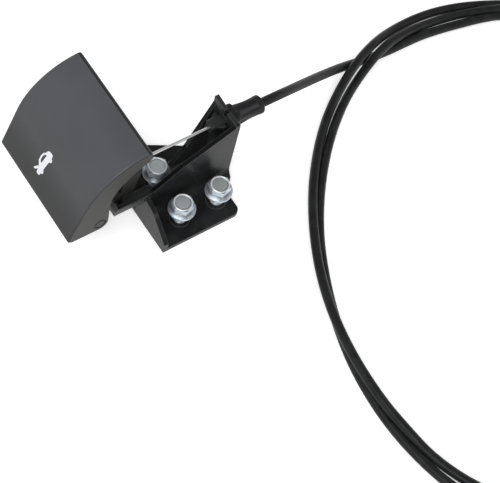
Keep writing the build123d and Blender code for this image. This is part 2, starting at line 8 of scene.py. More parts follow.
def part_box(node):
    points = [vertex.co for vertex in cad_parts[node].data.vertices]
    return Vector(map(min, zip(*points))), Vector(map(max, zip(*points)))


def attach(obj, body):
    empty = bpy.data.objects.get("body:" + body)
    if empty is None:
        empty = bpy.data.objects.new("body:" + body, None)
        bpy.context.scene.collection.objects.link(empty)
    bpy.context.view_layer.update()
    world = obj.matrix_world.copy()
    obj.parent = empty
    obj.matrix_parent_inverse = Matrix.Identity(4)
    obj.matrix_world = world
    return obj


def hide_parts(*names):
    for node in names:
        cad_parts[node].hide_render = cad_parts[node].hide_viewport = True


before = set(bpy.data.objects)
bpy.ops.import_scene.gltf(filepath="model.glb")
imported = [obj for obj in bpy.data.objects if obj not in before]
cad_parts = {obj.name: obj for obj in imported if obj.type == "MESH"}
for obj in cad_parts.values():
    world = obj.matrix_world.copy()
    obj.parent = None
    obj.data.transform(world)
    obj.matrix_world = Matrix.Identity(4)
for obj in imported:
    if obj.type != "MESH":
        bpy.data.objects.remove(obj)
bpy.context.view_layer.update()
mm = 0.001
# Y and Z of the pull wire, which the boot and the first of the cable share
pullLine = (21.5, 41.0)
# grain keeps between these values mostly, and between these a surface turns at a sharp edge
grainSpread = (0.3, 0.7)
edgeTurn = (0.02, 0.2)


def addObject(name, data):
    obj = bpy.data.objects.new(name, data)
    bpy.context.scene.collection.objects.link(obj)
    return obj


# a shader socket that can stand in a sum
class Field:
    def __init__(self, graph, socket):
        self.graph = graph
        self.socket = socket

    def calc(self, operation, *terms):
        node = self.graph.tree.nodes.new("ShaderNodeMath")
        node.operation = operation
        for socket, term in zip(node.inputs, terms):
            self.graph.feed(socket, term)
        return Field(self.graph, node.outputs[0])

    def __add__(self, other):
        return self.calc("ADD", self, other)

    def __radd__(self, other):
        return self.calc("ADD", other, self)

    def __sub__(self, other):
        return self.calc("SUBTRACT", self, other)

    def __rsub__(self, other):
        return self.calc("SUBTRACT", other, self)

    def __mul__(self, other):
        return self.calc("MULTIPLY", self, other)

    def __rmul__(self, other):
        return self.calc("MULTIPLY", other, self)

    def sine(self):
        return self.calc("SINE", self)

    def angleTo(self, other):
        return self.calc("ARCTAN2", self, other)

    # 0 at low, 1 at high, smooth between
    def rise(self, low, high):
        ends = {"Value": self, "From Min": low, "From Max": high}
        return self.graph.make("ShaderNodeMapRange", ends, interpolation_type="SMOOTHSTEP")

    # the same for a length, with its ends in millimetres
    def riseAlong(self, low, high):
        return self.rise(low * mm, high * mm)

    # grain keeps near its middle value: this spreads it from 0 to 1
    def spread(self):
        return self.rise(*grainSpread)


# a shader node tree, built up in fields
class Graph:
    def __init__(self, tree):
        self.tree = tree

    def feed(self, socket, value):
        if isinstance(value, Field):
            self.tree.links.new(value.socket, socket)
        else:
            socket.default_value = value

    def make(self, kind, inputs=None, output=0, **settings):
        node = self.tree.nodes.new(kind)
        for key, value in settings.items():
            setattr(node, key, value)
        for key, value in (inputs or {}).items():
            self.feed(node.inputs[key], value)
        return Field(self, node.outputs[output])

    # 1 where it is looked at: by the camera, in a mirror or through glass
    def lookedAt(self):
        rays = self.tree.nodes.new("ShaderNodeLightPath").outputs
        names = ("Is Camera Ray", "Is Glossy Ray", "Is Transmission Ray")
        direct, mirrored, through = [Field(self, rays[name]) for name in names]
        return direct + mirrored + through


# a material, with Principled inputs that are plain values given by name
class Finish(Graph):
    def __init__(self, name, **values):
        self.material = bpy.data.materials.new(name)
        self.material.use_nodes = True
        super().__init__(self.material.node_tree)
        self.shader = self.tree.nodes["Principled BSDF"]
        for key, value in values.items():
            self.shader.inputs[key.replace("_", " ")].default_value = value
        self.place = self.make("ShaderNodeTexCoord", output="Object")

    def set(self, name, value):
        self.feed(self.shader.inputs[name], value)

    def axis(self, name):
        return self.make("ShaderNodeSeparateXYZ", {"Vector": self.place}, output=name)

    # grain with features about that many millimetres wide
    def grain(self, size, detail=2.0):
        inputs = {"Vector": self.place, "Scale": 1 / (size * mm), "Detail": detail}
        return self.make("ShaderNodeTexNoise", inputs, output="Fac")

    def mixColour(self, share, first, second):
        node = self.tree.nodes.new("ShaderNodeMix")
        node.data_type = "RGBA"
        colours = [socket for socket in node.inputs if socket.type == "RGBA"]
        self.feed(node.inputs["Factor"], share)
        self.feed(colours[0], first)
        self.feed(colours[1], second)
        return Field(self, [socket for socket in node.outputs if socket.type == "RGBA"][0])

    # colour between two tones, by a field from 0 to 1
    def tone(self, share, dark, light):
        return self.mixColour(share, (*dark, 1), (*light, 1))

    # one tone laid over a colour, by a field from 0 to 1
    def cover(self, share, under, tone):
        return self.mixColour(share, under, (*tone, 1))

    # how far the surface faces along an axis, -1 to 1
    def facing(self, name):
        normal = self.make("ShaderNodeNewGeometry", output="Normal")
        return self.make("ShaderNodeSeparateXYZ", {"Vector": normal}, output=name)

    # 1 along sharp edges about that many millimetres wide, 0 on open ground
    def edges(self, width):
        rounded = self.make("ShaderNodeBevel", {"Radius": width * mm}, samples=6)
        normal = self.make("ShaderNodeNewGeometry", output="Normal")
        pair = {0: rounded, 1: normal}
        turned = self.make("ShaderNodeVectorMath", pair, output="Value", operation="DOT_PRODUCT")
        return (1 - turned).rise(*edgeTurn)

    # soft edges of that radius in millimetres, with a relief of height (a field) and depth
    def relief(self, height, depth, edge):
        rounded = self.make("ShaderNodeBevel", {"Radius": edge * mm}, samples=4)
        inputs = {"Height": height, "Distance": depth * mm, "Normal": rounded, "Strength": 1.0}
        self.set("Normal", self.make("ShaderNodeBump", inputs))


def paint(finish, *names):
    for name in names:
        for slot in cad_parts[name].material_slots:
            slot.material = finish.material


# a geometry node tree, fed by name
class Recipe:
    def __init__(self, name, **inputs):
        self.tree = bpy.data.node_groups.new(name, "GeometryNodeTree")
        face = self.tree.interface
        face.new_socket("Geometry", in_out="OUTPUT", socket_type="NodeSocketGeometry")
        face.new_socket("Geometry", in_out="INPUT", socket_type="NodeSocketGeometry")
        for key, kind in inputs.items():
            face.new_socket(key, in_out="INPUT", socket_type="NodeSocket" + kind)
        self.start = self.tree.nodes.new("NodeGroupInput").outputs
        self.end = self.tree.nodes.new("NodeGroupOutput").inputs

    def add(self, kind, inputs=None, output=0, **settings):
        node = self.tree.nodes.new(kind)
        for key, value in settings.items():
            setattr(node, key, value)
        for key, value in (inputs or {}).items():
            if isinstance(value, bpy.types.NodeSocket):
                self.tree.links.new(value, node.inputs[key])
            else:
                node.inputs[key].default_value = value
        return node.outputs[output]

    def close(self, geometry):
        whole = self.add("GeometryNodeRealizeInstances", {"Geometry": geometry})
        dressed = self.add(
            "GeometryNodeSetMaterial", {"Geometry": whole, "Material": self.start["Material"]}
        )
        self.tree.links.new(dressed, self.end["Geometry"])

    # runs the tree on an object and keeps only the mesh that comes out
    def runOn(self, obj, **values):
        modifier = obj.modifiers.new("recipe", "NODES")
        modifier.node_group = self.tree
        for item in self.tree.interface.items_tree:
            if item.in_out == "INPUT" and item.name in values:
                modifier[item.identifier] = values[item.name]
        seen = obj.evaluated_get(bpy.context.evaluated_depsgraph_get())
        mesh = bpy.data.meshes.new_from_object(seen)
        obj.modifiers.remove(modifier)
        obj.data = mesh
        mesh.name = obj.name


# Camera, at the photograph's angle
view = {
    "lens": 100.8,
    "sensor": 36,
    "near": 0.05,
    # columns: to the right, up, back, and where it stands
    "pose": (
        (0.81998887, 0.42171565, -0.38700667, -0.25717),
        (-0.55014616, 0.76729775, -0.32953506, -0.25853),
        (0.15797925, 0.48312532, 0.86118086, 0.60812),
        (0, 0, 0, 1),
    ),
}
camera = addObject("photo_camera", bpy.data.cameras.new("photo_camera"))
camera.data.lens = view["lens"]
camera.data.sensor_width = view["sensor"]
camera.data.clip_start = view["near"]
camera.matrix_world = Matrix(view["pose"])
bpy.context.scene.camera = camera
print("camera set")

# Control cable: down from the boot, round the coil twice and a bit, and out to the latch end
cable = {
    "diameter": 5.0,
    "exit": (46.0, *pullLine),
    "lead": [
        (41.0, *pullLine),
        (54.0, *pullLine),
        (64.5, 23.2, 37.4),
        (79.5, 27.4, 28.8),
        (96.5, 32.0, 19.2),
        (113.5, 35.4, 11.0),
        (125.0, 36.6, 6.4),
        (136.0, 37.0, 3.4),
        (148.5, 36.4, 2.6),
        (160.5, 36.4, 2.6),
        (173.5, 36.3, 2.6),
        (187.0, 34.7, 2.6),
        (200.0, 32.4, 2.6),
        (213.0, 29.9, 2.6),
        (225.0, 26.6, 2.6),
    ],
    "tail": [
        (308.0, -111.0, 2.6),
        (302.0, -127.0, 2.9),
        (293.0, -141.5, 4.1),
        (281.5, -154.5, 4.1),
    ],
    # the turns run about this centre, near a circle that waves bend out of round
    "centre": (169.0, -105.0),
    "radius": 147.2,
    "waves": [
        (math.sin, 1, -1.9),
        (math.cos, 2, -1.0),
        (math.sin, 2, 4.7),
        (math.sin, 3, -4.1),
    ],
    "step": 5.0,
    # angle about the centre in degrees, offset from the middle line, height
    "turns": [
        (62, -8.6, 2.6),
        (40, -6.5, 2.6),
        (25, -3.6, 2.6),
        (10, -1.8, 2.6),
        (-5, -1.5, 2.6),
        (-60, -2.5, 2.6),
        (-85, -1.2, 2.6),
        (-100, 1.3, 2.6),
        (-120, 4.8, 2.6),
        (-135, 6.8, 2.6),
        (-148, 7.7, 2.6),
        (-153, 6.8, 2.6),
        (-157, 5.5, 2.6),
        (-163, 4.0, 2.6),
        (-168, 2.9, 2.6),
        (-174, 1.7, 2.6),
        (-180, 0.9, 2.6),
        (-185, 0.1, 2.6),
        (-197, -1.0, 2.6),
        (-207, -1.3, 2.6),
        (-217, -2.2, 2.6),
        (-227, -3.3, 2.6),
        (-237, -4.1, 2.6),
        (-247, -4.5, 3.0),
        (-252, -5.0, 5.0),
        (-257, -5.2, 8.4),
        (-263, -5.0, 8.4),
        (-268, -4.7, 6.0),
        (-274, -4.6, 3.2),
        (-280, -4.7, 2.6),
        (-287, -4.8, 3.6),
        (-295, -4.7, 5.2),
        (-303, -3.5, 4.2),
        (-311, -1.9, 2.6),
        (-320, -0.6, 2.6),
        (-335, 1.7, 2.6),
        (-350, 3.3, 2.6),
        (-365, 3.7, 2.6),
        (-420, 2.8, 2.6),
        (-432, 2.6, 3.8),
        (-445, 1.8, 7.0),
        (-456, 1.3, 7.9),
        (-466, 0.9, 7.0),
        (-477, 0.1, 3.8),
        (-490, -0.3, 2.6),
        (-508, 0.9, 2.6),
        (-513, 0.7, 2.6),
        (-518, 0.3, 2.9),
        (-523, 0.2, 5.8),
        (-528, 0.6, 7.1),
        (-534, 0.6, 7.7),
        (-540, 1.0, 7.9),
        (-547, 1.7, 7.8),
        (-557, 2.2, 6.7),
        (-567, 2.3, 6.2),
        (-577, 2.1, 5.4),
        (-587, 1.5, 4.2),
        (-597, 1.2, 3.0),
        (-602, 0.9, 5.0),
        (-606, 0.4, 9.6),
        (-610, -0.2, 12.4),
        (-616, -0.5, 12.4),
        (-621, 0.3, 9.0),
        (-626, 1.4, 4.4),
        (-631, 2.0, 2.6),
        (-640, 1.4, 2.6),
        (-647, 0.4, 2.6),
        (-654, 0.0, 2.6),
        (-662, 1.0, 2.6),
        (-670, 0.9, 5.6),
        (-680, 0.2, 7.9),
        (-695, -3.0, 7.9),
        (-705, -5.4, 6.4),
        (-712, -6.6, 4.2),
        (-717, -7.1, 3.0),
    ],
    "tone": ((0.0095, 0.0102, 0.0099), (0.0165, 0.0174, 0.0171)),
    "streak": 6.0,
    "smear": 0.9,
    "rough": 0.33,
    "roughBySmear": 0.1,
    "grain": 0.5,
    "relief": 0.03,
    "edge": 0.1,
}


# middle line of the turns, about their centre
def middleRadius(angle):
    radius = cable["radius"]
    for wave, times, size in cable["waves"]:
        radius += size * wave(times * angle)
    return radius


def turnPoint(degrees):
    keys = cable["turns"]
    for (a, offsetA, heightA), (b, offsetB, heightB) in zip(keys, keys[1:]):
        if degrees >= b:
            break
    share = (a - degrees) / (a - b)
    angle = math.radians(degrees)
    radius = middleRadius(angle) + offsetA + (offsetB - offsetA) * share
    return (
        cable["centre"][0] + radius * math.cos(angle),
        cable["centre"][1] + radius * math.sin(angle),
        heightA + (heightB - heightA) * share,
    )


points = list(cable["lead"])
turned = cable["turns"][0][0]
while turned > cable["turns"][-1][0]:
    points.append(turnPoint(turned))
    turned -= cable["step"]
points += cable["tail"]

line = bpy.data.curves.new("control_cable", "CURVE")
line.dimensions = "3D"
spline = line.splines.new("NURBS")
spline.points.add(len(points) - 1)
for knot, (x, y, z) in zip(spline.points, points):
    knot.co = (x * mm, y * mm, z * mm, 1)
spline.order_u = 3
spline.use_endpoint_u = True
spline.resolution_u = 6
line.bevel_depth = cable["diameter"] / 2 * mm
line.bevel_resolution = 5
line.use_fill_caps = True
controlCable = addObject("control_cable", line)

casing = Finish("cable_casing", Specular_IOR_Level=0.16)
streak = casing.grain(cable["streak"], detail=3.0)
smear = casing.grain(cable["smear"], detail=3.0)
casing.set("Base Color", casing.tone(streak.spread(), *cable["tone"]))
casing.set("Roughness", cable["rough"] + cable["roughBySmear"] * smear)
casing.relief(casing.grain(cable["grain"]), cable["relief"], cable["edge"])
controlCable.data.materials.append(casing.material)

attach(controlCable, "frame")
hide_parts("cable_lead", "cable_coil", "cable_tail")
print("cable laid")

# Lever: satin moulded plastic
lever = {
    "footTone": ((0.0105, 0.0109, 0.012), (0.0135, 0.0139, 0.0152)),
    "gripTone": ((0.070, 0.073, 0.080), (0.077, 0.080, 0.087)),
    "lipTone": (0.013, 0.0135, 0.013),
    "sideTone": ((0.017, 0.017, 0.0155), (0.009, 0.009, 0.008)),
    # heights between which the painted shade on the foot fades into the grip, and the painted
    # shade on the side changes tone
    "foot": (24, 64),
    "side": (24, 58),
    "sideTurn": (0.6, 0.9),
    # where the lip begins, along X and by height
    "lip": (-30.0, -29.3),
    "lipHeight": (55, 60),
    "mottle": 26.0,
    "grain": 0.35,
    "rough": 0.41,
    "roughByGrain": 0.08,
    "roughByMottle": 0.02,
    "relief": 0.025,
    "edge": 0.3,
}
shell = Finish("lever_plastic", Specular_IOR_Level=0.35)
mottle = shell.grain(lever["mottle"]).spread()
fine = shell.grain(lever["grain"], detail=3.0)
height = shell.axis("Z")
# painted shade: the lower part, the foot, is painted darker than the grip above it
foot = shell.tone(mottle, *lever["footTone"])
grip = shell.tone(mottle, *lever["gripTone"])
satin = shell.mixColour(height.riseAlong(*lever["foot"]), foot, grip)
# painted shade: faces turned to -Y are painted a darker tone, graded by height
side = shell.tone(height.riseAlong(*lever["side"]), *lever["sideTone"])
satin = shell.mixColour((0 - shell.facing("Y")).rise(*lever["sideTurn"]), satin, side)
# painted shade: the rounded lip, which turns away from the lamps, is painted dark
painted_lip_shade = shell.axis("X").riseAlong(*lever["lip"]) * height.riseAlong(*lever["lipHeight"])
shell.set("Base Color", shell.cover(painted_lip_shade, satin, lever["lipTone"]))
uneven = lever["roughByGrain"] * fine + lever["roughByMottle"] * mottle
shell.set("Roughness", lever["rough"] + uneven)
shell.relief(fine, lever["relief"], lever["edge"])
paint(shell, "lever")

# Bracket: black moulded plastic
bracket = {
    "tone": ((0.0125, 0.013, 0.0135), (0.019, 0.0196, 0.02)),
    "edgeHighlightTone": (0.13, 0.133, 0.135),
    "edgeWidth": 0.5,
    "edgeShare": 0.8,
    # the arm's painted light: from its root outwards, over its low edge, up its front, and at its
    # tip
    "armTone": (0.1, 0.1, 0.101),
    "armEnds": (-20.0, -27.0),
    "armLow": (16.5, 18.0),
    "armTop": (22.5, 18.0),
    "armTurn": (0.5, 0.9),
    "returnEnd": (-40.2, -40.8),
    "armLightShare": (0.8, 0.2),
    "slopeShadeTone": (0.005, 0.005, 0.005),
    "slopeLeft": (0.2, 0.35),
    "slopeUp": (0.3, 0.5),
    # painted fill light between the tower's walls: low and high tone, and the sides of the space
    # it is painted in
    "insideTone": ((0.085, 0.088, 0.088), (0.028, 0.029, 0.029)),
    "fillHeights": (12.0, 28.0),
    "insideLeft": (-5.0, 1.0),
    "insideFloor": (1.0, 2.0),
    "insideNear": (13.2, 13.4),
    "insideFar": (33.0, 32.8),
    "fillTurn": (0.2, 0.6),
    "mottle": 9.0,
    "grain": 0.3,
    "rough": 0.19,
    "roughByGrain": 0.07,
    "roughByMottle": 0.06,
    "roughByArmLight": 0.15,
    "relief": 0.02,
    "edge": 0.2,
}
moulded = Finish("bracket_plastic", Specular_IOR_Level=0.12)
mottle = moulded.grain(bracket["mottle"])
fine = moulded.grain(bracket["grain"], detail=3.0)
black = moulded.tone(mottle.spread(), *bracket["tone"])
length = moulded.axis("X")
across = moulded.axis("Y")
height = moulded.axis("Z")
right = moulded.facing("X")
upward = moulded.facing("Z")
# painted light: the arm's front, and its top where its end turns in, are painted lighter grey
front = (0 - moulded.facing("Y")).rise(*bracket["armTurn"]) * height.riseAlong(*bracket["armTop"])
turnedIn = length.riseAlong(*bracket["returnEnd"]) * upward.rise(*bracket["armTurn"])
plain, patchy = bracket["armLightShare"]
painted_arm_light = length.riseAlong(*bracket["armEnds"]) * height.riseAlong(*bracket["armLow"])
painted_arm_light = painted_arm_light * (front + turnedIn) * (plain + patchy * mottle)
# painted shade: faces sloping up to the left are painted near black; painted fill light: the space
# between the tower's walls is painted a lighter grey, most near its floor
shaded_slopes = (0 - right).rise(*bracket["slopeLeft"]) * upward.rise(*bracket["slopeUp"])
black = moulded.cover(shaded_slopes, black, bracket["slopeShadeTone"])
bloom_and_painted_fill = length.riseAlong(*bracket["insideLeft"]) * height.riseAlong(*bracket["insideFloor"])
bloom_and_painted_fill = bloom_and_painted_fill * across.riseAlong(*bracket["insideNear"]) * across.riseAlong(*bracket["insideFar"])
bloom_and_painted_fill = bloom_and_painted_fill * (1 - shaded_slopes) * (1 - right.rise(*bracket["fillTurn"]))
inside = moulded.tone(height.riseAlong(*bracket["fillHeights"]), *bracket["insideTone"])
black = moulded.mixColour(bloom_and_painted_fill, black, inside)
# painted highlight: sharp edges are painted light grey
edge_highlight = bracket["edgeShare"] * moulded.edges(bracket["edgeWidth"])
coloured = moulded.cover(edge_highlight, black, bracket["edgeHighlightTone"])
moulded.set("Base Color", moulded.cover(painted_arm_light, coloured, bracket["armTone"]))
uneven = bracket["roughByGrain"] * fine + bracket["roughByMottle"] * mottle
moulded.set("Roughness", bracket["rough"] + uneven + bracket["roughByArmLight"] * painted_arm_light)
moulded.relief(fine, bracket["relief"], bracket["edge"])
paint(moulded, "bracket")

# Fitting that holds the casing's end: the same plastic, with painted highlights along its edges
endFitting = {
    "tone": ((0.010, 0.011, 0.0105), (0.017, 0.0185, 0.018)),
    "edgeHighlightTone": (0.07, 0.074, 0.072),
    "edgeWidth": 0.35,
    "edgeShare": 0.8,
    "mottle": 4.0,
    "grain": 0.3,
    "rough": 0.36,
    "roughByGrain": 0.1,
    "relief": 0.015,
    "edge": 0.25,
}
fitting = Finish("fitting_plastic")
fine = fitting.grain(endFitting["grain"])
black = fitting.tone(fitting.grain(endFitting["mottle"]).spread(), *endFitting["tone"])
edge_highlight = endFitting["edgeShare"] * fitting.edges(endFitting["edgeWidth"])
fitting.set("Base Color", fitting.cover(edge_highlight, black, endFitting["edgeHighlightTone"]))
fitting.set("Roughness", endFitting["rough"] + endFitting["roughByGrain"] * fine)
fitting.relief(fine, endFitting["relief"], endFitting["edge"])
paint(fitting, "casing_end_fitting")

# Boot: soft black moulding with a slight bloom
boot = {
    "flutes": 4,
    # angles round the boot of one painted shade line in a groove and one painted highlight line on
    # a ridge, and how wide each is drawn
    "groove": 141,
    "ridge": 119,
    "grooveBand": (0.6, 0.9),
    "ridgeBand": (0.3, 1.0),
    "ridgeShare": (0.6, 0.4),
    "tone": ((0.0075, 0.0075, 0.008), (0.013, 0.013, 0.0135)),
    "grooveShadeTone": (0.004, 0.004, 0.0045),
    "ridgeHighlightTone": (0.044, 0.042, 0.047),
    "rimHighlightTone": (0.06, 0.063, 0.06),
    "rimWidth": 0.4,
    "rimShare": 0.6,
    # where the flutes fade in and out, along X
    "fadeIn": (30.6, 32.6),
    "fadeOut": (43.6, 42.1),
    "bloom": 2.4,
    "bloomSpread": (0.35, 0.75),
    "grain": 0.4,
    "rough": 0.4,
    "roughByBloom": 0.12,
    "relief": 0.03,
    "edge": 0.4,
}
rubber = Finish("boot_rubber", Specular_IOR_Level=0.25)
bloom = rubber.grain(boot["bloom"], detail=4.0)
fromAxis = rubber.axis("Y") - pullLine[0] * mm
aboveAxis = rubber.axis("Z") - pullLine[1] * mm
around = aboveAxis.angleTo(fromAxis)
length = rubber.axis("X")
fluted = length.riseAlong(*boot["fadeIn"]) * length.riseAlong(*boot["fadeOut"])


# lines along the boot, one to each flute, through that angle in degrees
def fluteLines(degrees, band):
    turned = (around - math.radians(degrees)) * boot["flutes"] + math.pi / 2
    return turned.sine().rise(*band) * fluted


bloom_and_painted_fill = rubber.tone(bloom.rise(*boot["bloomSpread"]), *boot["tone"])
plain, patchy = boot["ridgeShare"]
# painted highlight along the ridges, patchy with the bloom, and painted shade down the grooves
raised = fluteLines(boot["ridge"], boot["ridgeBand"]) * (plain + patchy * bloom)
ridge_highlighted = rubber.cover(raised, bloom_and_painted_fill, boot["ridgeHighlightTone"])
painted_groove_shade = fluteLines(boot["groove"], boot["grooveBand"])
groove_shaded = rubber.cover(painted_groove_shade, ridge_highlighted, boot["grooveShadeTone"])
# painted highlight: the boot's sharp edges are painted grey
edge_highlight = boot["rimShare"] * rubber.edges(boot["rimWidth"])
rubber.set("Base Color", rubber.cover(edge_highlight, groove_shaded, boot["rimHighlightTone"]))
rubber.set("Roughness", boot["rough"] + boot["roughByBloom"] * bloom)
rubber.relief(rubber.grain(boot["grain"], detail=3.0), boot["relief"], boot["edge"])
paint(rubber, "cable_boot")
print("mouldings painted")

# Bolts: bright zinc over turned steel
bolts = {
    "places": [(-9.2, 1.5), (12.8, 1.5), (-9.2, 25.5)],
    # heights of the dish in the head, and of the corner between flats and flange
    "dish": 18.4,
    "flange": 14.6,
    # how far a face points up, from the flats over the slopes to the level ones
    "flatTurn": (0.2, 0.5),
    "slopeTurn": (0.5, 0.6),
    "slopeEnd": (0.93, 0.96),
    "levelTurn": (0.96, 0.99),
    # heights above the dish: its floor, the painted shade round it, the painted highlight ring,
    # the corners with painted highlight
    "dishFloor": (-0.1, 0),
    "creaseLow": (-0.08, 0),
    "creaseHigh": (0.1, 0.16),
    "ringLow": (0.1, 0.2),
    "highlightLow": (-2.0, -1.5),
    # heights above the flange of the painted shade at the head's foot
    "footLow": (-0.9, -0.2),
    "footHigh": (0.1, 0.6),
    "tone": ((0.36, 0.40, 0.45), (0.55, 0.60, 0.65)),
    "dishTone": ((0.55, 0.61, 0.62), (0.67, 0.72, 0.73)),
    "sideTone": (0.66, 0.74, 0.80),
    "rimHighlightTone": (0.76, 0.79, 0.82),
    "creaseTone": (0.09, 0.10, 0.11),
    "creaseShare": 0.75,
    "footShare": 0.6,
    "rimWidth": 0.35,
    "rimShare": 0.8,
    "cloud": 1.6,
    "stipple": 0.7,
    "grain": 0.5,
    "metallic": 0.78,
    "metallicByFlat": -0.35,
    "metallicByHighlight": -0.3,
    "rough": 0.3,
    "roughByCloud": 0.08,
    "roughByDull": 0.06,
    "relief": 0.002,
    "edge": 0.08,
    "shank": 3.0,
    "thread": {"pitch": 1.0, "low": 1.0, "rise": 10.6, "sunk": 0.06, "flank": 0.33, "steps": 32},
}
zinc = Finish("bolt_zinc")
cloud = zinc.grain(bolts["cloud"], detail=4.0)
up = zinc.facing("Z")
aboveDish = zinc.axis("Z") - bolts["dish"] * mm
aboveFlange = zinc.axis("Z") - bolts["flange"] * mm
flat = 1 - up.rise(*bolts["flatTurn"])
sloped = up.rise(*bolts["slopeTurn"]) * (1 - up.rise(*bolts["slopeEnd"]))
dull = up.rise(*bolts["levelTurn"]) * aboveDish.riseAlong(*bolts["dishFloor"])
# painted shade: dark round the dish and where the head meets its flange
crease = sloped * aboveDish.riseAlong(*bolts["creaseLow"])
crease = crease * (1 - aboveDish.riseAlong(*bolts["creaseHigh"]))
headFoot = aboveFlange.riseAlong(*bolts["footLow"])
headFoot = headFoot * (1 - aboveFlange.riseAlong(*bolts["footHigh"]))
# painted highlight: the ring round the dish and the head's edges are painted bright
ring = sloped * aboveDish.riseAlong(*bolts["ringLow"])
edge_highlight = bolts["rimShare"] * zinc.edges(bolts["rimWidth"])
edge_highlight = edge_highlight * aboveDish.riseAlong(*bolts["highlightLow"])
painted_rim_highlight = ring + (1 - ring) * edge_highlight * (1 - crease)
plated = zinc.tone(cloud.spread(), *bolts["tone"])
# painted light: the hex flats, picked by facing, are painted a light blue-grey
plated = zinc.cover(flat, plated, bolts["sideTone"])
plated = zinc.cover(painted_rim_highlight, plated, bolts["rimHighlightTone"])
pressed = zinc.tone(zinc.grain(bolts["stipple"], detail=4.0), *bolts["dishTone"])
plated = zinc.mixColour(dull, plated, pressed)
painted_crease_shade = bolts["creaseShare"] * crease + bolts["footShare"] * headFoot
zinc.set("Base Color", zinc.cover(painted_crease_shade, plated, bolts["creaseTone"]))
covered = bolts["metallicByFlat"] * flat + bolts["metallicByHighlight"] * painted_rim_highlight
zinc.set("Metallic", bolts["metallic"] + covered)
uneven = bolts["roughByCloud"] * cloud + bolts["roughByDull"] * dull
zinc.set("Roughness", bolts["rough"] + uneven)
zinc.relief(zinc.grain(bolts["grain"]), bolts["relief"], bolts["edge"])
paint(zinc, "front_left_bolt", "front_right_bolt", "rear_bolt")

# Threads: one ridge wound up each shank
thread = bolts["thread"]
lengths = {name: "Float" for name in ("Pitch", "Radius", "Rise", "Low")}
ridge = Recipe("thread_ridge", Material="Material", **lengths)
given = ridge.start
turnsUp = ridge.add(
    "ShaderNodeMath", {0: given["Rise"], 1: given["Pitch"]}, operation="DIVIDE"
)
helix = ridge.add(
    "GeometryNodeCurveSpiral",
    {
        "Resolution": thread["steps"],
        "Rotations": turnsUp,
        "Start Radius": given["Radius"],
        "End Radius": given["Radius"],
        "Height": given["Rise"],
    },
)
flankSize = ridge.add(
    "ShaderNodeMath", {0: given["Pitch"], 1: thread["flank"]}, operation="MULTIPLY"
)
flank = ridge.add(
    "GeometryNodeCurvePrimitiveCircle", {"Resolution": 4, "Radius": flankSize}, output="Curve"
)
wound = ridge.add(
    "GeometryNodeCurveToMesh", {"Curve": helix, "Profile Curve": flank, "Fill Caps": True}
)
lift = ridge.add("ShaderNodeCombineXYZ", {"Z": given["Low"]})
raised = ridge.add("GeometryNodeTransform", {"Geometry": wound, "Translation": lift})
spread = ridge.add(
    "GeometryNodeInstanceOnPoints", {"Points": given["Geometry"], "Instance": raised}
)
ridge.close(spread)

seats = bpy.data.meshes.new("bolt_threads")
seats.from_pydata([(x * mm, y * mm, 0) for x, y in bolts["places"]], [], [])
threads = addObject("bolt_threads", seats)
ridge.runOn(
    threads,
    Material=zinc.material,
    Pitch=thread["pitch"] * mm,
    Radius=(bolts["shank"] - thread["sunk"]) * mm,
    Rise=thread["rise"] * mm,
    Low=thread["low"] * mm,
)
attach(threads, "frame")
print("threads", len(threads.data.polygons))

# Pin, clip and nipples: cloudy bare metal
metals = {
    "zinc_steel": {
        "pieces": ["pivot_pin"],
        "cloud": (1.2, 4.0),
        "tone": ((0.42, 0.43, 0.45), (0.6, 0.61, 0.63)),
        "rough": 0.26,
        "roughByCloud": 0.18,
        "relief": 0.01,
        "edge": 0.15,
    },
    "spring_steel": {
        "pieces": ["pin_clip"],
        "cloud": (0.8, 3.0),
        "tone": ((0.11, 0.11, 0.12), (0.2, 0.2, 0.21)),
        "rough": 0.3,
        "roughByCloud": 0.15,
        "relief": 0.01,
        "edge": 0.1,
    },
    "cast_zinc": {
        "pieces": ["lever_end_nipple", "latch_end_nipple"],
        "cloud": (0.7, 4.0),
        "tone": ((0.36, 0.37, 0.39), (0.55, 0.56, 0.58)),
        "rough": 0.36,
        "roughByCloud": 0.2,
        "relief": 0.05,
        "edge": 0.2,
    },
}
for name, look in metals.items():
    metal = Finish(name, Metallic=1.0)
    cloud = metal.grain(*look["cloud"])
    metal.set("Base Color", metal.tone(cloud, *look["tone"]))
    metal.set("Roughness", look["rough"] + look["roughByCloud"] * cloud)
    metal.relief(cloud, look["relief"], look["edge"])
    paint(metal, *look["pieces"])

# Ferrule at the latch end: black moulded plastic
ferrule = {
    "tone": ((0.012, 0.012, 0.013), (0.02, 0.02, 0.022)),
    "mottle": 5.0,
    "grain": 0.3,
    "rough": 0.38,
    "roughByGrain": 0.1,
    "relief": 0.02,
    "edge": 0.3,
}
cap = Finish("ferrule_plastic")
fine = cap.grain(ferrule["grain"])
cap.set("Base Color", cap.tone(cap.grain(ferrule["mottle"]), *ferrule["tone"]))
cap.set("Roughness", ferrule["rough"] + ferrule["roughByGrain"] * fine)
cap.relief(fine, ferrule["relief"], ferrule["edge"])
paint(cap, "latch_end_ferrule")

# Inner wire: strands twisted round a core beside the lever, plain at the latch end
strands = {
    "radius": 0.75,
    "count": 6,
    "lay": 9.0,
    # the section's share of the radius between strands, and what a strand adds to it
    "hollow": 0.93,
    "bulge": 0.07,
    "around": 48,
    "along": 180,
    "tone": ((0.66, 0.66, 0.67), (0.82, 0.82, 0.83)),
    "cloud": 0.6,
    "rough": 0.28,
    "roughByCloud": 0.12,
}
bright = Finish("bright_wire", Metallic=1.0)
cloud = bright.grain(strands["cloud"], detail=3.0)
bright.set("Base Color", bright.tone(cloud, *strands["tone"]))
bright.set("Roughness", strands["rough"] + strands["roughByCloud"] * cloud)

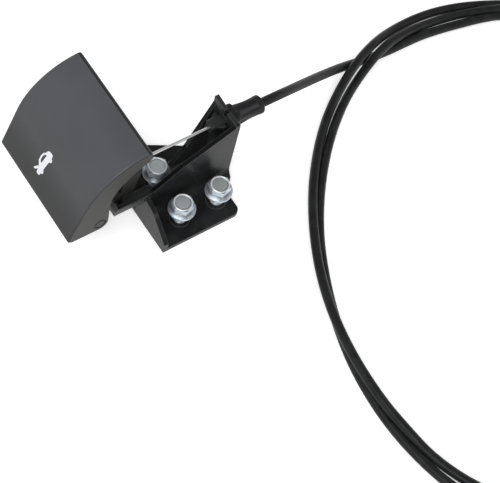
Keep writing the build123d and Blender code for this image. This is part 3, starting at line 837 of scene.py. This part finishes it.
twist = Recipe("twisted_wire", Material="Material", Start="Vector", End="Vector", Turns="Float")
given = twist.start
profile = twist.add("GeometryNodeMeshToCurve", {"Mesh": given["Geometry"]})
run = twist.add("GeometryNodeCurvePrimitiveLine", {"Start": given["Start"], "End": given["End"]})
run = twist.add("GeometryNodeResampleCurve", {"Curve": run, "Count": strands["along"]})
along = twist.add("GeometryNodeSplineParameter", output="Factor")
angle = twist.add("ShaderNodeMath", {0: along, 1: given["Turns"]}, operation="MULTIPLY")
angle = twist.add("ShaderNodeMath", {0: angle, 1: 2 * math.pi}, operation="MULTIPLY")
run = twist.add("GeometryNodeSetCurveTilt", {"Curve": run, "Tilt": angle})
rope = twist.add(
    "GeometryNodeCurveToMesh", {"Curve": run, "Profile Curve": profile, "Fill Caps": True}
)
twist.close(rope)


def twistedWire(name, node, body, start, end):
    count = strands["around"]
    lobed = []
    for i in range(count):
        a = 2 * math.pi * i / count
        lobe = abs(math.cos(strands["count"] * a / 2))
        r = strands["radius"] * (strands["hollow"] + strands["bulge"] * lobe) * mm
        lobed.append((r * math.cos(a), r * math.sin(a), 0))
    loop = bpy.data.meshes.new(name)
    loop.from_pydata(lobed, [(i, (i + 1) % count) for i in range(count)], [])
    obj = addObject(name, loop)
    start = Vector(start) * mm
    end = Vector(end) * mm
    turns = (end - start).length / (strands["lay"] * mm)
    twist.runOn(obj, Material=bright.material, Start=start, End=end, Turns=turns)
    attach(obj, body)
    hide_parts(node)


low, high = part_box("inner_wire")
ends = [(x / mm, *pullLine) for x in (low[0], high[0])]
twistedWire("pull_strands", "inner_wire", "pull_wire", *ends)
paint(bright, "latch_end_wire")
print("wires twisted")

# Hood mark: flat white print on the lever's curved face
hoodMark = {
    # the face's arc in X and Z, and the angle at which it runs out straight
    "centre": (-25.5, 28.8),
    "radius": 38.8,
    "lowAngle": 160.0,
    # the drawing's corner: along the face from that angle, and across the lever
    "front": -14.4,
    "across": 41.8,
    "lift": 0.04,
    # cuts across the drawing, so that it bends with the face
    "cuts": 34,
    "cutEvery": 0.5,
    "tone": ((0.70, 0.71, 0.75), (0.80, 0.81, 0.85)),
    "wear": 0.5,
    "wearSpread": (0.25, 0.6),
    "rough": 0.4,
    "roughByWear": 0.15,
    "body": [
        (16.9, 2.3), (17.3, 1.0), (17.2, -0.6), (16.3, -1.0), (15.3, -1.0), (14.8, -1.8),
        (13.9, -2.1), (12.9, -1.8), (12.4, -0.9), (11.6, -0.5), (5.3, 0.4), (4.8, -0.2),
        (3.9, -0.5), (2.9, -0.2), (2.4, 0.7), (1.2, 1.0), (0.3, 1.5), (0.1, 2.6), (0.4, 3.4),
        (1.8, 3.7), (3.5, 3.8), (4.9, 4.3), (7.0, 5.6), (9.6, 5.7), (12.6, 5.0), (14.4, 3.6),
        (16.0, 3.1),
    ],
    "window": [(8.4, 4.6), (11.0, 4.5), (12.9, 3.7), (13.8, 2.4), (7.2, 3.3), (7.3, 4.0)],
    "hood": [
        (4.3, 4.2), (3.4, 3.5), (1.8, 4.3), (0.8, 5.2), (0.3, 5.9), (0.7, 6.3), (1.6, 6.0),
        (2.9, 5.2),
    ],
}


# a point of the flat drawing, laid on the face: the arc, or the straight run below it
def onFace(mark, along, up):
    low = math.radians(mark["lowAngle"])
    radius = mark["radius"] + mark["lift"]
    way = mark["front"] + along
    angle = low - max(way, 0) / mark["radius"]
    x = mark["centre"][0] + radius * math.cos(angle) + min(way, 0) * math.sin(low)
    z = mark["centre"][1] + radius * math.sin(angle) - min(way, 0) * math.cos(low)
    return Vector((x, mark["across"] + up, z)) * mm


def printedMark(mark):
    flat = bpy.data.curves.new("hood_mark", "CURVE")
    flat.dimensions = "2D"
    flat.fill_mode = "BOTH"
    for key in ("body", "window", "hood"):
        outline = flat.splines.new("POLY")
        outline.points.add(len(mark[key]) - 1)
        for knot, (along, up) in zip(outline.points, mark[key]):
            knot.co = (along, up, 0, 1)
        outline.use_cyclic_u = True
    holder = addObject("flat_mark", flat)
    seen = holder.evaluated_get(bpy.context.evaluated_depsgraph_get())
    mesh = bpy.data.meshes.new_from_object(seen)
    bpy.data.objects.remove(holder)
    work = bmesh.new()
    work.from_mesh(mesh)
    bmesh.ops.remove_doubles(work, verts=work.verts, dist=0.001)
    for i in range(1, mark["cuts"] + 1):
        everything = work.verts[:] + work.edges[:] + work.faces[:]
        at = (i * mark["cutEvery"], 0, 0)
        bmesh.ops.bisect_plane(work, geom=everything, plane_co=at, plane_no=(1, 0, 0))
    for vert in work.verts:
        vert.co = onFace(mark, vert.co.x, vert.co.y)
    bmesh.ops.recalc_face_normals(work, faces=work.faces)
    work.to_mesh(mesh)
    work.free()
    mesh.name = "hood_mark"
    return addObject("hood_mark", mesh)


ink = Finish("mark_print")
wear = ink.grain(hoodMark["wear"], detail=3.0)
ink.set("Base Color", ink.tone(wear.rise(*hoodMark["wearSpread"]), *hoodMark["tone"]))
ink.set("Roughness", hoodMark["rough"] + hoodMark["roughByWear"] * wear)
mark = printedMark(hoodMark)
mark.data.materials.append(ink.material)
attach(mark, "lever")
print("mark printed", len(mark.data.polygons))

# Floor, backdrop and lights
ground = {
    "size": 3.0,
    "drop": 0.2,
    "glow": 0.42,
    "tone": ((0.93, 0.93, 0.93), (0.95, 0.95, 0.95)),
    "mottle": 60.0,
}
half = ground["size"] / 2
sheet = bpy.data.meshes.new("floor")
corners = [(-half, -half), (half, -half), (half, half), (-half, half)]
sheet.from_pydata([(x, y, -ground["drop"] * mm) for x, y in corners], [], [(0, 1, 2, 3)])
floor = addObject("floor", sheet)
paper = Finish("floor_paper", Roughness=0.9, Specular_IOR_Level=0.1)
paper.set("Base Color", paper.tone(paper.grain(ground["mottle"]), *ground["tone"]))
paper.set("Emission Color", (1, 1, 1, 1))
paper.set("Emission Strength", paper.lookedAt() * ground["glow"])
floor.data.materials.append(paper.material)

# the backdrop is white at eye level and dims overhead; its soft light is dimmer than it looks
backdrop = {"white": 1.0, "overhead": 0.36, "dimming": (0.05, 0.65), "light": 0.58}
world = bpy.data.worlds.new("studio")
world.use_nodes = True
bpy.context.scene.world = world
sky = Graph(world.node_tree)
sky.tree.nodes.clear()
outward = sky.make("ShaderNodeTexCoord", output="Generated")
upward = sky.make("ShaderNodeSeparateXYZ", {"Vector": outward}, output="Z")
fall = backdrop["white"] - backdrop["overhead"]
shown = backdrop["white"] - fall * upward.rise(*backdrop["dimming"])
looked = sky.lookedAt()
strength = looked * shown + (1 - looked) * backdrop["light"]
output = sky.tree.nodes.new("ShaderNodeOutputWorld")
glow = sky.make("ShaderNodeBackground", {"Color": (1, 1, 1, 1), "Strength": strength})
sky.feed(output.inputs["Surface"], glow)

softboxes = {
    "key_box": {
        "place": (-0.75, -0.95, 1.15), "target": (0.02, 0.0, 0.02), "size": (0.8, 0.6), "power": 8,
    },
    "high_box": {
        "place": (-0.8, -0.15, 1.25), "target": (0.0, 0.0, 0.0), "size": (0.9, 0.9), "power": 6,
    },
    "side_box": {
        "place": (1.1, -0.8, 0.5), "target": (0.05, 0.0, 0.02), "size": (0.4, 0.5), "power": 2,
    },
}
for name, box in softboxes.items():
    light = bpy.data.lights.new(name, "AREA")
    light.shape = "RECTANGLE"
    light.size, light.size_y = box["size"]
    light.energy = box["power"]
    lamp = addObject(name, light)
    lamp.location = box["place"]
    toward = Vector(box["target"]) - Vector(box["place"])
    lamp.rotation_euler = toward.to_track_quat("-Z", "Y").to_euler()

scene = bpy.context.scene
scene.view_settings.view_transform = "Standard"
print("lit")
